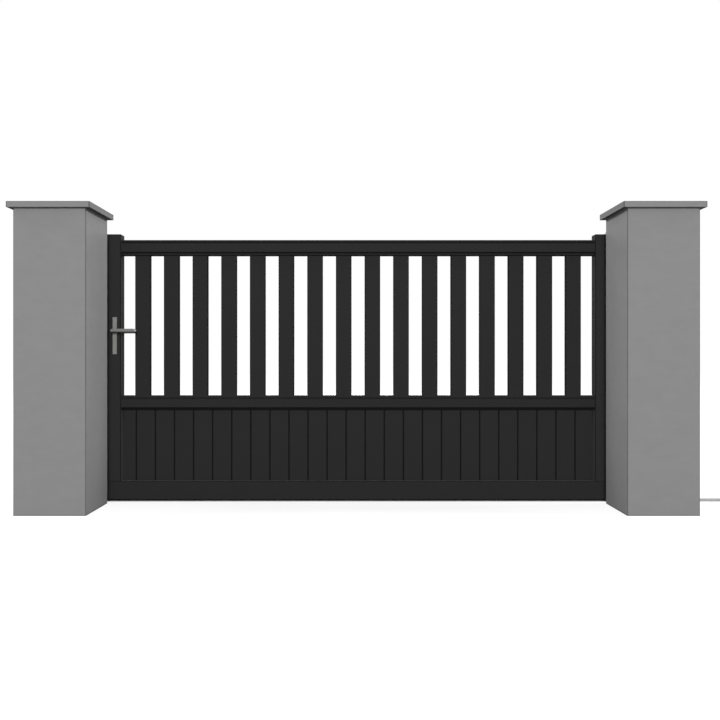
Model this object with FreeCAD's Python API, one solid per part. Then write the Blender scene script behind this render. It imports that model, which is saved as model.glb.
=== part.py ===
import FreeCAD, Part
import math
import os

# Sliding driveway gate between two rendered pillars, in millimetres.
# The origin is on the ground at the centre of the left pillar's base. +X runs along the gate,
# the way the leaf slides to open, +Y leads away from the street, and +Z is up.

# Pillars: masonry shafts under flat concrete caps
opening_width = 2600.0
pillar_width = 350.0
pillar_height = 1480.0
pillar_arris = 4.0
cap_overhang = 25.0
cap_thickness = 28.0
cap_edge = 2.0
drip_width = 6.0
drip_depth = 5.0
drip_inset = 9.0

# Leaf: aluminium frame that runs behind the pillars
leaf_behind_pillar = 44.0
leaf_cover = 50.0
leaf_height = 1400.0
leaf_depth = 70.0
leaf_ground_gap = 10.0
leaf_offset = 7.5
lever_stop_clearance = 59.0
stile_width = 100.0
frame_wall = 3.0
frame_ease = 1.5
end_plate = 5.0

# Bottom rail: open below for the wheels, grooved above for the boards
bottom_rail_height = 100.0
bottom_slot = 44.0
bottom_rail_ease = 1.3
board_groove = 8.0

# Infill rails: a box with a narrow bead above and below
rail_depth = 60.0
top_rail_face = 53.0
mid_rail_face = 48.0
bead_height = 15.0
rail_wall = 2.5
bead_lip = 3.0
rail_ease = 1.0
top_rail_drop = 28.0
mid_rail_level = 482.0

# Slats and boards: hollow bars with bevelled edges
slat_count = 16
slat_width = 83.0
slat_bevel = 4.0
slat_wall = 2.0
infill_thickness = 25.0
infill_fit = 0.3
infill_end_gap = 0.5
board_cover = 101.0
board_wall = 2.0
board_bevel = 3.5
board_joint = 0.6
tongue_length = 8.0
tongue_thickness = 6.0

# Track: a low ridge on a flat base, laid on the ground behind the pillars
track_base_width = 50.0
track_base_thickness = 3.0
ridge_height = 10.0
ridge_tip = 2.0
track_left_of_wheel = 280.0
anchor_pitch = 1000.0
anchor_pairs = 6
anchor_inset = 60.0
anchor_offset = 18.5
anchor_radius = 4.5

# Wheels and their carriages, two in the bottom rail
wheel_inset = 300.0
wheel_tread_radius = 35.0
wheel_flange_radius = 40.0
wheel_width = 28.0
axle_radius = 6.0
axle_shoulder_radius = 10.0
carriage_length = 150.0
carriage_wall = 4.0
carriage_drop = 62.0
rolling_gap = 0.3
axle_fit = 0.3
seat_fit = 0.3

# Receiver on the left pillar, end stop on the track
running_gap = 5.0
receiver_wall = 5.0
receiver_cover = 24.5
receiver_buffer = 19.0
receiver_foot = 75.0
receiver_bottom = 40.0
receiver_below_top = 25.0
receiver_bolt_radius = 5.5
receiver_bolt_inset = 120.0
receiver_bolts = 3
buffer_width = 40.0
buffer_height = 60.0
buffer_inset = 260.0
stop_plate = 8.0
stop_height = 92.0
stop_foot = 70.0
stop_buffer_radius = 18.0
stop_buffer_length = 20.0
stop_buffer_level = 62.0

# Guide on the right pillar: two rollers on hanging pins
guide_inset = 25.0
guide_length = 80.0
guide_plate = 8.0
guide_leg_height = 136.0
guide_above_leaf = 8.0
guide_gusset = 26.0
guide_roller_radius = 15.0
guide_pin_radius = 5.0
guide_head_radius = 9.0
guide_head_height = 5.0
guide_pin_inset = 20.0
guide_gap = 0.8
guide_end_margin = 20.0
guide_bolt_radius = 6.0
guide_bolt_inset = 26.0

# Lock and lever handles on the left stile
lever_level = 900.5
lock_backset = 69.5
lock_plate_width = 21.0
lock_plate_height = 195.0
lock_plate_thickness = 8.0
lock_plate_above_lever = 72.0
lock_plate_ease = 1.5
lock_case_height = 165.0
lock_case_above_lever = 60.0
lock_case_thickness = 16.0
lock_case_depth = 90.0
lock_forend_width = 22.0
lock_forend_height = 235.0
lock_forend_thickness = 3.0
lever_radius = 10.5
lever_reach = 103.5
lever_projection = 52.0
lever_end_clearance = 10.0
lever_gap = 0.5
lever_collar_radius = 8.0
spindle_size = 8.0
spindle_fit = 0.1
spindle_seat = 18.0

# Places worked out from the sizes above
right_pillar_x = opening_width + pillar_width
pillar_back = pillar_width / 2
leaf_front = pillar_back + leaf_behind_pillar
leaf_back = leaf_front + leaf_depth
leaf_y = (leaf_front + leaf_back) / 2
opening_left = pillar_width / 2
opening_right = right_pillar_x - pillar_width / 2
leaf_left = opening_left - leaf_cover + leaf_offset
leaf_right = opening_right + leaf_cover + leaf_offset
inner_left = leaf_left + stile_width
inner_right = leaf_right - stile_width
leaf_bottom = leaf_ground_gap
leaf_top = leaf_bottom + leaf_height
bottom_rail_top = leaf_bottom + bottom_rail_height
groove_floor = bottom_rail_top - board_groove
top_rail_bottom = leaf_top - top_rail_drop - top_rail_face - 2 * bead_height
mid_rail_face_top = mid_rail_level + bead_height + mid_rail_face
slot_half = infill_thickness / 2 + infill_fit
bead_half = slot_half + bead_lip
slat_gap = (inner_right - inner_left - slat_count * slat_width) / (slat_count + 1)
track_top = track_base_thickness + ridge_height
ridge_half = ridge_tip / 2 + ridge_height
wheel_z = track_top + rolling_gap + wheel_tread_radius
wheel_xs = [leaf_left + wheel_inset, leaf_right - wheel_inset]
lever_x = leaf_left + lock_backset
leaf_travel = opening_right - lever_stop_clearance - (lever_x + lever_reach + lever_radius)
stop_x = leaf_right + leaf_travel + running_gap
track_start = wheel_xs[0] - track_left_of_wheel
track_end = stop_x + stop_buffer_length + stop_plate + stop_foot
guide_left = opening_right + guide_inset
plate_front = leaf_front - lock_plate_thickness


def eased(outline, ease):
    """Take the sharp edge off every outward corner of a closed outline."""
    turns = []
    for i, (a, b) in enumerate(outline):
        back_a, back_b = outline[i - 1]
        next_a, next_b = outline[(i + 1) % len(outline)]
        turns.append((a - back_a) * (next_b - b) - (b - back_b) * (next_a - a))
    area = sum(a * outline[i - 1][1] - b * outline[i - 1][0] for i, (a, b) in enumerate(outline))
    points = []
    for i, (a, b) in enumerate(outline):
        if turns[i] * area > 0:
            points.append((a, b))
            continue
        for near_a, near_b in (outline[i - 1], outline[(i + 1) % len(outline)]):
            share = ease / math.hypot(near_a - a, near_b - b)
            points.append((a + (near_a - a) * share, b + (near_b - b) * share))
    return points


def prism(corners, direction):
    """Straight extrusion of the closed outline through the corners."""
    return Part.Face(Part.makePolygon(corners + corners[:1])).extrude(direction)


def upright(outline, z_low, z_high):
    """Extrude an outline of (x, y) corners upwards."""
    corners = [FreeCAD.Vector(x, y, z_low) for x, y in outline]
    return prism(corners, FreeCAD.Vector(0, 0, z_high - z_low))


def along_x(outline, x_low, x_high):
    """Extrude an outline of (y, z) corners along the gate."""
    corners = [FreeCAD.Vector(x_low, y, z) for y, z in outline]
    return prism(corners, FreeCAD.Vector(x_high - x_low, 0, 0))


def along_y(outline, y_low, y_high):
    """Extrude an outline of (x, z) corners away from the street."""
    corners = [FreeCAD.Vector(x, y_low, z) for x, z in outline]
    return prism(corners, FreeCAD.Vector(0, y_high - y_low, 0))


def rectangle(a_low, a_high, b_low, b_high):
    """Corners of a rectangle, in order."""
    return [(a_low, b_low), (a_high, b_low), (a_high, b_high), (a_low, b_high)]


def across_leaf(outline):
    """Place (offset from the leaf's middle plane, z) corners on the leaf."""
    return [(leaf_y + offset, z) for offset, z in outline]


def rod_y(x, z, y_low, y_high, radius):
    """Cylinder along Y."""
    start = FreeCAD.Vector(x, y_low, z)
    return Part.makeCylinder(radius, y_high - y_low, start, FreeCAD.Vector(0, 1, 0))


def rod_z(x, y, z_low, z_high, radius):
    """Upright cylinder."""
    return Part.makeCylinder(radius, z_high - z_low, FreeCAD.Vector(x, y, z_low))


def pillar(x):
    """Rendered masonry shaft with softened arrises."""
    half = pillar_width / 2
    shaft = upright(rectangle(x - half, x + half, -half, half), 0, pillar_height)
    arrises = [edge for edge in shaft.Edges if edge.BoundBox.ZLength > pillar_height / 2]
    return shaft.makeFillet(pillar_arris, arrises)


def pillar_cap(x):
    """Flat cap that overhangs all round, with a drip groove under its rim."""
    half = pillar_width / 2 + cap_overhang
    z_top = pillar_height + cap_thickness
    outline = eased(rectangle(x - half, x + half, -half, half), cap_edge)
    cap = upright(outline, pillar_height, z_top)
    rim = [edge for edge in cap.Edges if edge.BoundBox.ZMin > z_top - 0.01]
    cap = cap.makeChamfer(cap_edge / 2, rim)
    outer = half - drip_inset
    inner = outer - drip_width
    z_groove = pillar_height + drip_depth
    groove = upright(rectangle(x - outer, x + outer, -outer, outer), pillar_height, z_groove)
    keep = upright(rectangle(x - inner, x + inner, -inner, inner), pillar_height, z_groove)
    return cap.cut(groove.cut(keep))


def stile(x_low):
    """Rectangular hollow section that stands on the bottom rail."""
    z_top = leaf_top - end_plate
    x_high = x_low + stile_width
    outline = eased(rectangle(x_low, x_high, leaf_front, leaf_back), frame_ease)
    inside = rectangle(
        x_low + frame_wall, x_high - frame_wall, leaf_front + frame_wall, leaf_back - frame_wall
    )
    return upright(outline, bottom_rail_top, z_top).cut(upright(inside, bottom_rail_top, z_top))


def left_stile():
    """The lock side: cut for the lock's front plate and the lever's spindle."""
    body = stile(leaf_left)
    half = lock_forend_width / 2 + seat_fit
    z_middle = lever_level + lock_case_above_lever - lock_case_height / 2
    z_half = lock_forend_height / 2 + seat_fit
    outline = rectangle(leaf_y - half, leaf_y + half, z_middle - z_half, z_middle + z_half)
    body = body.cut(along_x(outline, leaf_left, leaf_left + frame_wall))
    return body.cut(rod_y(lever_x, lever_level, leaf_front, leaf_back, spindle_size))


def stile_cap(x_low):
    """Plate that closes the top of a stile."""
    outline = eased(rectangle(x_low, x_low + stile_width, leaf_front, leaf_back), frame_ease)
    plate = upright(outline, leaf_top - end_plate, leaf_top)
    rim = [edge for edge in plate.Edges if edge.BoundBox.ZMin > leaf_top - 0.01]
    return plate.makeChamfer(end_plate / 4, rim)


def bottom_rail():
    """Deep channel: the wheels run in it, and the boards stand in the groove along its top."""
    half = leaf_depth / 2
    slot = bottom_slot / 2
    z_lip = leaf_bottom + frame_wall
    z_roof = bottom_rail_top - frame_wall
    outline = across_leaf([
        (-slot, leaf_bottom),
        (-half, leaf_bottom),
        (-half, bottom_rail_top),
        (-slot_half, bottom_rail_top),
        (-slot_half, groove_floor),
        (slot_half, groove_floor),
        (slot_half, bottom_rail_top),
        (half, bottom_rail_top),
        (half, leaf_bottom),
        (slot, leaf_bottom),
        (slot, z_lip),
        (half - frame_wall, z_lip),
        (half - frame_wall, z_roof),
        (slot_half + frame_wall, z_roof),
        (slot_half + frame_wall, groove_floor - frame_wall),
        (-slot_half - frame_wall, groove_floor - frame_wall),
        (-slot_half - frame_wall, z_roof),
        (-half + frame_wall, z_roof),
        (-half + frame_wall, z_lip),
        (-slot, z_lip),
    ])
    return along_x(eased(outline, bottom_rail_ease), leaf_left + end_plate, leaf_right - end_plate)


def bottom_rail_cap(x_low):
    """End plate of the bottom rail, notched so that it passes over the track."""
    half = leaf_depth / 2
    slot = bottom_slot / 2
    z_notch = track_top + running_gap
    outline = across_leaf([
        (-half, leaf_bottom),
        (-slot, leaf_bottom),
        (-slot, z_notch),
        (slot, z_notch),
        (slot, leaf_bottom),
        (half, leaf_bottom),
        (half, bottom_rail_top),
        (-half, bottom_rail_top),
    ])
    return along_x(outline, x_low, x_low + end_plate)


def infill_rail(z_low, face_height):
    """Extruded rail: a hollow box with a hollow bead along its top and its underside."""
    half = rail_depth / 2
    z_face = z_low + bead_height
    z_face_top = z_face + face_height
    z_high = z_face_top + bead_height
    outline = across_leaf([
        (-bead_half, z_low),
        (bead_half, z_low),
        (bead_half, z_face),
        (half, z_face),
        (half, z_face_top),
        (bead_half, z_face_top),
        (bead_half, z_high),
        (-bead_half, z_high),
        (-bead_half, z_face_top),
        (-half, z_face_top),
        (-half, z_face),
        (-bead_half, z_face),
    ])
    rail = along_x(eased(outline, rail_ease), inner_left, inner_right)
    chambers = [
        rectangle(-half + rail_wall, half - rail_wall, z_face + rail_wall, z_face_top - rail_wall),
        rectangle(-slot_half, slot_half, z_low + rail_wall, z_face),
        rectangle(-slot_half, slot_half, z_face_top, z_high - rail_wall),
    ]
    for chamber in chambers:
        rail = rail.cut(along_x(across_leaf(chamber), inner_left, inner_right))
    return rail


def slat_outline(i, grow):
    """Bevelled section of slat number i, counted from 0 at the lock side, made larger by grow."""
    x_low = inner_left + slat_gap + i * (slat_width + slat_gap) - grow
    x_high = x_low + slat_width + 2 * grow
    half = infill_thickness / 2 + grow
    return eased(rectangle(x_low, x_high, leaf_y - half, leaf_y + half), slat_bevel)


def slat_mortises(z_low, z_high):
    """Holes that the ends of the slats pass through, punched in a bead."""
    holes = [upright(slat_outline(i, infill_fit), z_low, z_high) for i in range(slat_count)]
    return Part.makeCompound(holes)


def top_rail():
    """Top rail, punched below for the slats."""
    return infill_rail(top_rail_bottom, top_rail_face).cut(
        slat_mortises(top_rail_bottom, top_rail_bottom + bead_height)
    )


def mid_rail():
    """Middle rail, punched above for the slats and slotted below for the boards."""
    z_high = mid_rail_face_top + bead_height
    rail = infill_rail(mid_rail_level, mid_rail_face)
    rail = rail.cut(slat_mortises(mid_rail_face_top, z_high))
    slot = rectangle(-slot_half, slot_half, mid_rail_level, mid_rail_level + bead_height)
    return rail.cut(along_x(across_leaf(slot), inner_left, inner_right))


def slat(i):
    """Hollow bar that stands on the middle rail and reaches up into the top rail."""
    z_low = mid_rail_face_top
    z_high = top_rail_bottom + bead_height - infill_end_gap
    bar = upright(slat_outline(i, 0), z_low, z_high)
    return bar.cut(upright(slat_outline(i, -slat_wall), z_low, z_high))


def board(x_low, x_high, has_groove, has_tongue):
    """Hollow board with bevelled edges, a groove on its left and a tongue on its right."""
    half = infill_thickness / 2
    tongue = tongue_thickness / 2
    groove = tongue + infill_fit
    groove_x = x_low + tongue_length + infill_fit
    outline = [
        (x_low + board_bevel, -half),
        (x_high - board_bevel, -half),
        (x_high, -half + board_bevel),
    ]
    if has_tongue:
        outline += [
            (x_high, -tongue),
            (x_high + tongue_length, -tongue),
            (x_high + tongue_length, tongue),
            (x_high, tongue),
        ]
    outline += [
        (x_high, half - board_bevel),
        (x_high - board_bevel, half),
        (x_low + board_bevel, half),
        (x_low, half - board_bevel),
    ]
    if has_groove:
        outline += [
            (x_low, groove),
            (groove_x, groove),
            (groove_x, -groove),
            (x_low, -groove),
        ]
    outline += [(x_low, -half + board_bevel)]
    corners = [(x, leaf_y + offset) for x, offset in outline]
    z_high = mid_rail_level + bead_height - infill_end_gap
    solid = upright(corners, groove_floor, z_high)
    inside = rectangle(
        groove_x + board_wall,
        x_high - board_bevel - board_wall,
        leaf_y - half + board_wall,
        leaf_y + half - board_wall,
    )
    return solid.cut(upright(inside, groove_floor, z_high))


def lower_boards():
    """Boards fitted from the right, so that the last one, on the left, is cut narrow."""
    boards = []
    x_high = inner_right
    while x_high > inner_left + board_joint:
        x_low = max(x_high - board_cover + board_joint, inner_left)
        is_last = x_high - board_cover < inner_left + board_joint
        boards.append(board(x_low, x_high, not is_last, x_high < inner_right))
        x_high -= board_cover
    return Part.makeCompound(boards)


def ground_track():
    """Flat base with a ridge that the wheels straddle, drilled in pairs for its anchors."""
    half = track_base_width / 2
    outline = across_leaf([
        (-half, 0),
        (half, 0),
        (half, track_base_thickness),
        (ridge_half, track_base_thickness),
        (ridge_tip / 2, track_top),
        (-ridge_tip / 2, track_top),
        (-ridge_half, track_base_thickness),
        (-half, track_base_thickness),
    ])
    track = along_x(outline, track_start, track_end)
    x_stop = stop_x + stop_buffer_length
    above_foot = rectangle(-ridge_half, ridge_half, track_base_thickness, track_top)
    track = track.cut(along_x(across_leaf(above_foot), x_stop, track_end))
    for i in range(anchor_pairs):
        x = track_start + anchor_inset + i * anchor_pitch
        for side in (-1, 1):
            hole = rod_z(x, leaf_y + side * anchor_offset, 0, track_base_thickness, anchor_radius)
            track = track.cut(hole)
    for side in (-1, 1):
        track = track.cut(stop_hole(side, 0, track_base_thickness))
    return track


def stop_hole(side, z_low, z_high):
    """Bolt hole through the foot of the end stop and the track below it."""
    x = track_end - stop_foot / 2
    return rod_z(x, leaf_y + side * anchor_offset, z_low, z_high, anchor_radius)


def track_end_stop():
    """Folded steel angle with a gusset, bolted on the end of the track."""
    half = track_base_width / 2
    x_face = stop_x + stop_buffer_length
    z_low = track_base_thickness
    z_foot = z_low + stop_plate
    z_high = z_low + stop_height
    outline = [
        (x_face, z_low),
        (track_end, z_low),
        (track_end, z_foot),
        (x_face + stop_plate, z_foot),
        (x_face + stop_plate, z_high),
        (x_face, z_high),
    ]
    angle = along_y(outline, leaf_y - half, leaf_y + half)
    gusset_outline = [
        (x_face + stop_plate, z_foot),
        (track_end - stop_plate, z_foot),
        (x_face + stop_plate, z_high - stop_plate),
    ]
    gusset_half = stop_plate / 2
    gusset = along_y(gusset_outline, leaf_y - gusset_half, leaf_y + gusset_half)
    stop = angle.fuse(gusset)
    for side in (-1, 1):
        stop = stop.cut(stop_hole(side, z_low, z_foot))
    return stop


def receiver_channel():
    """Steel channel with a fixing flange: the closed leaf runs into it."""
    inside = leaf_depth / 2 + running_gap
    outside = inside + receiver_wall
    x_tip = leaf_left + receiver_cover
    x_web = leaf_left - running_gap - receiver_buffer
    x_back = x_web - receiver_wall
    outline = [
        (x_back - receiver_foot, pillar_back),
        (x_web, pillar_back),
        (x_web, leaf_y - outside),
        (x_tip, leaf_y - outside),
        (x_tip, leaf_y - inside),
        (x_web, leaf_y - inside),
        (x_web, leaf_y + inside),
        (x_tip, leaf_y + inside),
        (x_tip, leaf_y + outside),
        (x_back, leaf_y + outside),
        (x_back, pillar_back + receiver_wall),
        (x_back - receiver_foot, pillar_back + receiver_wall),
    ]
    z_high = leaf_top - receiver_below_top
    channel = upright(outline, receiver_bottom, z_high)
    x_bolt = x_back - receiver_foot / 2
    z_first = receiver_bottom + receiver_bolt_inset
    z_step = (z_high - receiver_bolt_inset - z_first) / (receiver_bolts - 1)
    for i in range(receiver_bolts):
        z = z_first + i * z_step
        hole = rod_y(x_bolt, z, pillar_back, pillar_back + receiver_wall, receiver_bolt_radius)
        channel = channel.cut(hole)
    return channel


def rubber_buffers():
    """Two blocks in the receiver, and a round one on the end stop."""
    x_web = leaf_left - running_gap - receiver_buffer
    half = buffer_width / 2
    outline = rectangle(x_web, x_web + receiver_buffer, leaf_y - half, leaf_y + half)
    z_high = leaf_top - receiver_below_top - buffer_inset
    blocks = []
    for z in (receiver_bottom + buffer_inset, z_high - buffer_height):
        blocks.append(upright(eased(outline, frame_ease), z, z + buffer_height))
    start = FreeCAD.Vector(stop_x, leaf_y, stop_buffer_level)
    along = FreeCAD.Vector(1, 0, 0)
    blocks.append(Part.makeCylinder(stop_buffer_radius, stop_buffer_length, start, along))
    return Part.makeCompound(blocks)


def roller_places():
    """Centres of the front roller and of the back roller, in plan."""
    x = guide_left + guide_pin_inset
    reach = guide_gap + guide_roller_radius
    return (x, leaf_front - reach), (x, leaf_back + reach)


def guide_bracket():
    """Folded steel arm over the top of the leaf, with two pins that hang down beside it."""
    z_arm = leaf_top + guide_above_leaf
    z_high = z_arm + guide_plate
    z_leg = z_high - guide_leg_height
    y_tip = leaf_back + guide_gap + 2 * guide_roller_radius + guide_end_margin
    y_leg = pillar_back + guide_plate
    outline = [
        (pillar_back, z_leg),
        (y_leg, z_leg),
        (y_leg, z_arm),
        (y_tip, z_arm),
        (y_tip, z_high),
        (pillar_back, z_high),
    ]
    bracket = along_x(outline, guide_left, guide_left + guide_length)
    gusset = [(y_leg, z_arm - guide_gusset), (y_leg + guide_gusset, z_arm), (y_leg, z_arm)]
    for x_low in (guide_left, guide_left + guide_length - guide_plate):
        bracket = bracket.fuse(along_x(gusset, x_low, x_low + guide_plate))
    z_roller = top_rail_bottom + bead_height
    z_head = z_roller - axle_fit
    for x, y in roller_places():
        pin = rod_z(x, y, z_head, z_arm, guide_pin_radius)
        collar = rod_z(x, y, z_roller + top_rail_face + axle_fit, z_arm, guide_head_radius)
        head = rod_z(x, y, z_head - guide_head_height, z_head, guide_head_radius)
        bracket = bracket.fuse([pin, collar, head])
    for z in (z_leg + guide_bolt_inset, z_arm - guide_gusset - guide_bolt_inset):
        x_bolt = guide_left + guide_length - guide_pin_inset
        hole = rod_y(x_bolt, z, pillar_back, y_leg, guide_bolt_radius)
        bracket = bracket.cut(hole)
    return bracket


def guide_roller(x, y):
    """Nylon roller, as tall as the face of the top rail."""
    z_low = top_rail_bottom + bead_height
    z_high = z_low + top_rail_face
    roller = rod_z(x, y, z_low, z_high, guide_roller_radius)
    return roller.cut(rod_z(x, y, z_low, z_high, guide_pin_radius + axle_fit))


def wheel(x):
    """Turned wheel whose groove straddles the ridge of the track."""
    half = wheel_width / 2
    bore = axle_radius + axle_fit
    root = ridge_tip / 2
    mouth = root + wheel_flange_radius - wheel_tread_radius
    outline = [
        (bore, -half),
        (wheel_flange_radius, -half),
        (wheel_flange_radius, -mouth),
        (wheel_tread_radius, -root),
        (wheel_tread_radius, root),
        (wheel_flange_radius, mouth),
        (wheel_flange_radius, half),
        (bore, half),
    ]
    corners = [FreeCAD.Vector(x, leaf_y + offset, wheel_z + radius) for radius, offset in outline]
    face = Part.Face(Part.makePolygon(corners + corners[:1]))
    return face.revolve(FreeCAD.Vector(x, leaf_y, wheel_z), FreeCAD.Vector(0, 1, 0), 360)


def carriage(x):
    """Channel that hangs in the bottom rail, open over the wheel, with the axle pressed in."""
    outside = leaf_depth / 2 - frame_wall - seat_fit
    inside = outside - carriage_wall
    z_top = groove_floor - frame_wall
    z_low = z_top - carriage_drop
    outline = across_leaf([
        (-outside, z_low),
        (-inside, z_low),
        (-inside, z_top - carriage_wall),
        (inside, z_top - carriage_wall),
        (inside, z_low),
        (outside, z_low),
        (outside, z_top),
        (-outside, z_top),
    ])
    half = carriage_length / 2
    channel = along_x(outline, x - half, x + half)
    window_half = wheel_flange_radius + running_gap
    window_side = wheel_width / 2 + running_gap
    window = upright(
        rectangle(x - window_half, x + window_half, leaf_y - window_side, leaf_y + window_side),
        z_top - carriage_wall,
        z_top,
    )
    channel = channel.cut(window)
    axle = rod_y(x, wheel_z, leaf_y - outside, leaf_y + outside, axle_radius)
    shoulder = wheel_width / 2 + axle_fit
    left = rod_y(x, wheel_z, leaf_y - inside, leaf_y - shoulder, axle_shoulder_radius)
    right = rod_y(x, wheel_z, leaf_y + shoulder, leaf_y + inside, axle_shoulder_radius)
    return channel.fuse([axle, left, right])


def lock_plate(y_low, y_face):
    """Narrow plate with softened edges, bored for the lever's collar."""
    half = lock_plate_width / 2
    z_high = lever_level + lock_plate_above_lever
    outline = rectangle(lever_x - half, lever_x + half, z_high - lock_plate_height, z_high)
    plate = along_y(eased(outline, lock_plate_ease), y_low, y_low + lock_plate_thickness)
    rim = [edge for edge in plate.Edges if abs(edge.CenterOfMass.y - y_face) < 0.01]
    plate = plate.makeChamfer(lock_plate_ease / 2, rim)
    bore = lever_collar_radius + axle_fit
    return plate.cut(rod_y(lever_x, lever_level, y_low, y_low + lock_plate_thickness, bore))


def lock_case():
    """Lock in the left stile: its case, and the front plate let into the stile's edge."""
    half = lock_case_thickness / 2
    z_high = lever_level + lock_case_above_lever
    z_low = z_high - lock_case_height
    x_low = leaf_left + lock_forend_thickness
    case_outline = rectangle(leaf_y - half, leaf_y + half, z_low, z_high)
    case = along_x(case_outline, x_low, x_low + lock_case_depth)
    z_middle = (z_low + z_high) / 2
    z_half = lock_forend_height / 2
    plate_half = lock_forend_width / 2
    plate_outline = rectangle(
        leaf_y - plate_half, leaf_y + plate_half, z_middle - z_half, z_middle + z_half
    )
    plate = along_x(plate_outline, leaf_left, x_low)
    hole = rod_y(lever_x, lever_level, leaf_y - half, leaf_y + half, spindle_size)
    return case.fuse(plate).cut(hole)


def lever(side):
    """Lever of round bar with mitred corners: side is -1 towards the street, +1 on the far side."""
    face = leaf_y + side * leaf_depth / 2
    out = FreeCAD.Vector(0, side, 0)
    right = FreeCAD.Vector(1, 0, 0)
    plate_face = FreeCAD.Vector(lever_x, face, lever_level) + out * lock_plate_thickness
    neck = plate_face + out * lever_gap
    elbow = FreeCAD.Vector(lever_x, face, lever_level) + out * (lever_projection - lever_radius)
    end_elbow = elbow + right * lever_reach
    tip = FreeCAD.Vector(end_elbow.x, face, lever_level) + out * lever_end_clearance
    path = Part.makePolygon([neck, elbow, end_elbow, tip])
    circle = Part.Wire(Part.makeCircle(lever_radius, neck, out))
    mitred = 1
    bar = path.makePipeShell([circle], True, False, mitred)
    collar = Part.makeCylinder(lever_collar_radius, lock_plate_thickness + lever_gap, neck, out * -1)
    socket_half = spindle_size / 2 + spindle_fit
    z_low = lever_level - socket_half
    z_high = lever_level + socket_half
    y_ends = sorted([face, neck.y + side * (spindle_seat + spindle_fit)])
    outline = rectangle(lever_x - socket_half, lever_x + socket_half, z_low, z_high)
    socket = along_y(outline, y_ends[0], y_ends[1])
    return bar.fuse(collar).cut(socket)


def lever_spindle():
    """Square bar through the stile, seated in both levers."""
    half = spindle_size / 2
    reach = leaf_depth / 2 + lock_plate_thickness + lever_gap + spindle_seat
    outline = rectangle(lever_x - half, lever_x + half, lever_level - half, lever_level + half)
    return along_y(outline, leaf_y - reach, leaf_y + reach)


nodes = {
    "left_pillar": pillar(0),
    "right_pillar": pillar(right_pillar_x),
    "left_pillar_cap": pillar_cap(0),
    "right_pillar_cap": pillar_cap(right_pillar_x),
    "ground_track": ground_track(),
    "track_end_stop": track_end_stop(),
    "receiver_channel": receiver_channel(),
    "rubber_buffers": rubber_buffers(),
    "guide_bracket": guide_bracket(),
    "guide_rollers": Part.makeCompound([guide_roller(x, y) for x, y in roller_places()]),
    "bottom_rail": bottom_rail(),
    "bottom_rail_caps": Part.makeCompound(
        [bottom_rail_cap(leaf_left), bottom_rail_cap(leaf_right - end_plate)]
    ),
    "left_stile": left_stile(),
    "right_stile": stile(inner_right),
    "stile_caps": Part.makeCompound([stile_cap(leaf_left), stile_cap(inner_right)]),
    "top_rail": top_rail(),
    "mid_rail": mid_rail(),
    "lower_boards": lower_boards(),
    "wheels": Part.makeCompound([wheel(x) for x in wheel_xs]),
    "wheel_carriages": Part.makeCompound([carriage(x) for x in wheel_xs]),
    "lock_plate_front": lock_plate(plate_front, plate_front),
    "lock_plate_back": lock_plate(leaf_back, leaf_back + lock_plate_thickness),
    "lock_case": lock_case(),
    "lever_front": lever(-1),
    "lever_back": lever(1),
    "lever_spindle": lever_spindle(),
}
for number in range(slat_count):
    nodes[f"slat_{number + 1:02d}"] = slat(number)

os.makedirs("parts", exist_ok=True)
for name, shape in nodes.items():
    if not shape.isValid():
        raise ValueError(name + " is not a valid shape")
    shape.exportStep(f"parts/{name}.step")
    print(name, len(shape.Solids), round(shape.Volume / 1e6, 3), "litres")
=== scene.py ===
import math
import bmesh
import bpy
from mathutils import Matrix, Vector


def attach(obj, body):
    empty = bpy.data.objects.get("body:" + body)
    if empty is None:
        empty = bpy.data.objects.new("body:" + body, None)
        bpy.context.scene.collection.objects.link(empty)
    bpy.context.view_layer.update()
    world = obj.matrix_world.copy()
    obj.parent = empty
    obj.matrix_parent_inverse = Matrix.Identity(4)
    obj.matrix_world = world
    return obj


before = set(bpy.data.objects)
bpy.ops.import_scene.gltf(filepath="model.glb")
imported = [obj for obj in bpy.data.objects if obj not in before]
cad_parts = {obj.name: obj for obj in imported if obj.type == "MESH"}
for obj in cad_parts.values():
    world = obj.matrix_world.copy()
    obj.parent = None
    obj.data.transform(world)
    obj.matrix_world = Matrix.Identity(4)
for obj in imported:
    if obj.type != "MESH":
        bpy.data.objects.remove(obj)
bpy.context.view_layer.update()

# Pillars: filled blockwork under a coat of fine sand render, floated smooth by hand. The float leaves soft
# clouds, and grains of sand of one to two millimetres show. The bead in each arris is a little darker.
render_dark = 0.224
render_pale = 0.278
sand_grain = 0.0016
sand_relief = 0.0008
float_cloud = 0.075
float_sweep = 0.02
splash_height = 0.09
bead_grey = 0.13
pillar_spacing = 2.95
arris_start = 0.1705
foot_height = 0.0045
edge_blur = 0.001
mineral_gloss = 0.05


class Level:
    """A number that varies over a surface. Sums with it become Math nodes."""

    def __init__(self, finish, socket):
        self.finish = finish
        self.socket = socket

    def combined(self, operation, first, second):
        node = self.finish.add("ShaderNodeMath", {"operation": operation}, {0: first, 1: second})
        return Level(self.finish, node.outputs[0])

    def __add__(self, other):
        return self.combined("ADD", self, other)

    def __radd__(self, other):
        return self.combined("ADD", other, self)

    def __sub__(self, other):
        return self.combined("SUBTRACT", self, other)

    def __rsub__(self, other):
        return self.combined("SUBTRACT", other, self)

    def __mul__(self, other):
        return self.combined("MULTIPLY", self, other)

    def __rmul__(self, other):
        return self.combined("MULTIPLY", other, self)

    def __truediv__(self, other):
        return self.combined("DIVIDE", self, other)

    def clipped(self):
        return self.combined("MINIMUM", self.combined("MAXIMUM", self, 0.0), 1.0)

    def ramp(self, low, high):
        """0 below low, 1 above high, straight between them."""
        return ((self - low) / (high - low)).clipped()

    def off_centre(self, first, pitch):
        """Distance from the nearest of the middle lines that repeat from first at that pitch."""
        return self.combined("PINGPONG", self - first, pitch / 2)


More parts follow.
